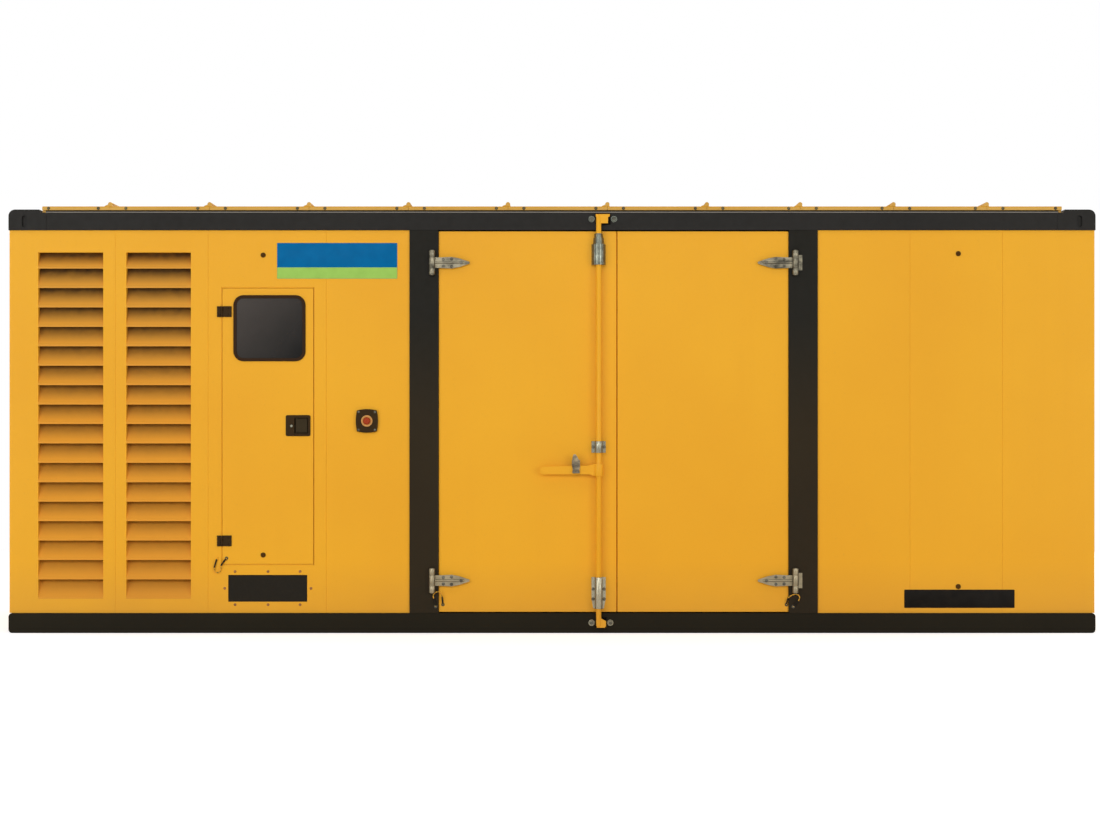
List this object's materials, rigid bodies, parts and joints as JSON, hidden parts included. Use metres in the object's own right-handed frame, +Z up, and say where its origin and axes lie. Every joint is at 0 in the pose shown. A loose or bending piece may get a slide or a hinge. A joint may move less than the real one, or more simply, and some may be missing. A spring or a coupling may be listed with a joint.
{
  "type": "enclosed diesel generator",
  "caption": "Long yellow generator enclosure on a black skid, with louvred air inlets, a control door with a window, hinged access doors held by a lock bar, and a seamed roof.",
  "frame": {"origin": "on the ground, under the centre of the enclosure", "axes": "+X along the length towards the plain end, -Y out of the front with the control door, +Z up"},
  "size_m": [5.996, 2.2978, 2.378],
  "materials": {
    "yellow": "semi-gloss paint",
    "black": "satin paint",
    "deck": "matt grey paint",
    "zinc": "zinc plated",
    "fittings": "satin black",
    "cabinet": "light grey powder coat",
    "rubber": "matt",
    "glass": "dark tint",
    "red": "gloss"
  },
  "bodies": {
    "enclosure": {"roof_sheets": "yellow", "roof_seam_caps": "yellow", "front_louvre_panels": "yellow", "front_louvre_blades": "yellow", "control_bay_panel": "yellow", "stop_bay_panel": "yellow", "front_plain_panels": "yellow", "rear_louvre_panels": "yellow", "rear_louvre_blades": "yellow", "rear_panels": "yellow", "left_end_panels": "yellow", "right_end_panels": "yellow", "right_end_louvre_blades": "yellow", "rear_door_leaves": "yellow", "rear_lock_bar": "yellow", "base_side_rails": "black", "base_end_rails": "black", "base_cross_members": "black", "top_side_rails": "black", "top_end_rails": "black", "front_posts": "black", "rear_posts": "black", "front_door_stops": "black", "floor_deck": "deck", "rear_door_hinges": "zinc", "rear_lock_fittings": "zinc", "front_hinge_forks": "zinc", "front_lock_keepers": "zinc", "control_hinge_frames": "fittings", "stop_housing": "fittings", "control_cabinet": "cabinet", "cable_entry_sheet": "rubber"},
    "left_door": {"left_door_leaf": "yellow", "left_door_straps": "zinc", "lock_bar_guides": "zinc"},
    "lock_bar": {"lock_bar": "yellow", "handle_catch": "zinc"},
    "right_door": {"right_door_leaf": "yellow", "right_door_straps": "zinc"},
    "control_door": {"control_door_leaf": "yellow", "window_gasket": "rubber", "window_glass": "glass", "control_door_hinges": "fittings", "latch_pan": "fittings"},
    "latch_paddle": {"latch_paddle": "fittings"},
    "stop_button": {"stop_button": "red"}
  },
  "joints": [
    {"name": "left_door_swing", "type": "hinge", "parent": "enclosure", "child": "left_door", "pos_m": [-0.661, -1.12, 1.166], "axis": [0, 0, -1], "range_deg": [0, 115]},
    {"name": "right_door_swing", "type": "hinge", "parent": "enclosure", "child": "right_door", "pos_m": [1.341, -1.12, 1.166], "axis": [0, 0, 1], "range_deg": [0, 115]},
    {"name": "lock_bar_turn", "type": "hinge", "parent": "left_door", "child": "lock_bar", "pos_m": [0.257, -1.126, 1.166], "axis": [0, 0, 1], "range_deg": [0, 90]},
    {"name": "control_door_swing", "type": "hinge", "parent": "enclosure", "child": "control_door", "pos_m": [-1.822, -1.097, 1.14], "axis": [0, 0, -1], "range_deg": [0, 115]},
    {"name": "latch_pull", "type": "hinge", "parent": "control_door", "child": "latch_paddle", "pos_m": [-1.4126, -1.087, 1.144], "axis": [0, 0, -1], "range_deg": [0, 35], "stiffness_Nm_per_rad": 0.6},
    {"name": "stop_press", "type": "slide", "parent": "enclosure", "child": "stop_button", "axis": [0, 1, 0], "range_m": [0, 0.006], "stiffness_N_per_m": 800}
  ]
}
